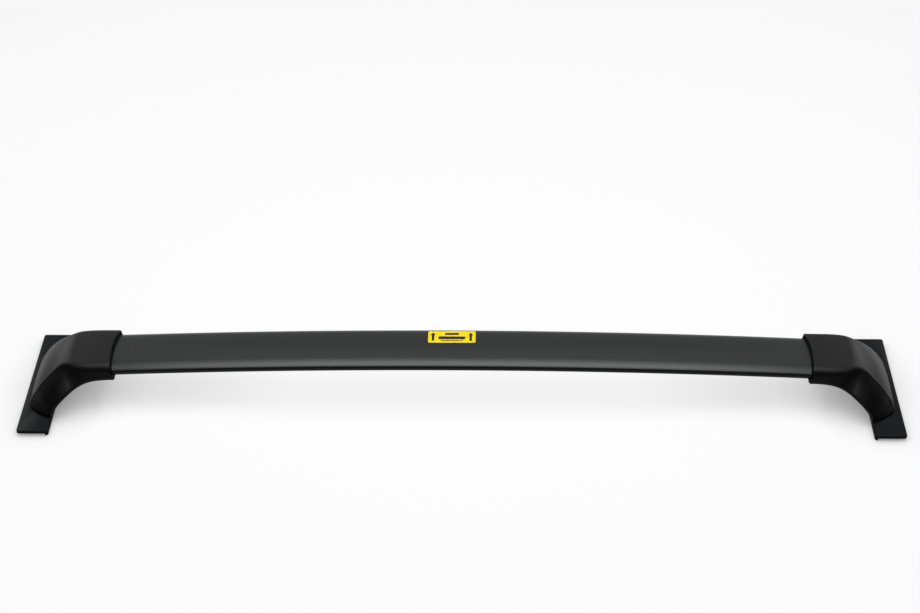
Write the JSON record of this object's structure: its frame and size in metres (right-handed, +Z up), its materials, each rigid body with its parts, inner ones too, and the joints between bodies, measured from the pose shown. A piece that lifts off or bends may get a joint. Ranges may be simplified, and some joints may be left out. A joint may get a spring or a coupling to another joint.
{
  "type": "roof rack crossbar",
  "caption": "Bowed aluminium roof rack crossbar in black, carried at each end by a moulded curved foot on a flat bolt-down base plate, with a yellow direction label.",
  "frame": {"origin": "on the roof plane (underside of the rubber pads), under the middle of the bar", "axes": "+X along the bar to the right-hand foot, +Y across the bar, the way the label's arrows point (vehicle forward), +Z up"},
  "size_m": [1.08, 0.187, 0.0722],
  "materials": {
    "bar_coat": "extruded aluminium with a satin, faintly textured black powder coat",
    "label_yellow": "printed vinyl film, semi-gloss",
    "label_black": "black print on the film",
    "arm_coat": "die-cast aluminium, black powder coat",
    "cover_plastic": "moulded black plastic with a fine matt grain",
    "plate_coat": "pressed steel, black dip coat",
    "pad_rubber": "matt moulded rubber",
    "seal_rubber": "matt black seal rubber",
    "insert_steel": "zinc-plated steel",
    "screw_steel": "stainless steel"
  },
  "bodies": {
    "root": {"bar_extrusion": "bar_coat", "direction_label": "label_yellow", "label_print": "label_black", "arm_left": "arm_coat", "arm_right": "arm_coat", "cover_left": "cover_plastic", "cover_right": "cover_plastic", "base_plate_left": "plate_coat", "base_plate_right": "plate_coat", "rubber_pad_left": "pad_rubber", "rubber_pad_right": "pad_rubber", "collar_seal_left": "seal_rubber", "collar_seal_right": "seal_rubber", "rim_seal_left": "seal_rubber", "rim_seal_right": "seal_rubber", "thread_inserts_left": "insert_steel", "thread_inserts_right": "insert_steel", "bar_screws_left": "screw_steel", "bar_screws_right": "screw_steel", "plate_screws_left": "screw_steel", "plate_screws_right": "screw_steel"}
  },
  "joints": []
}
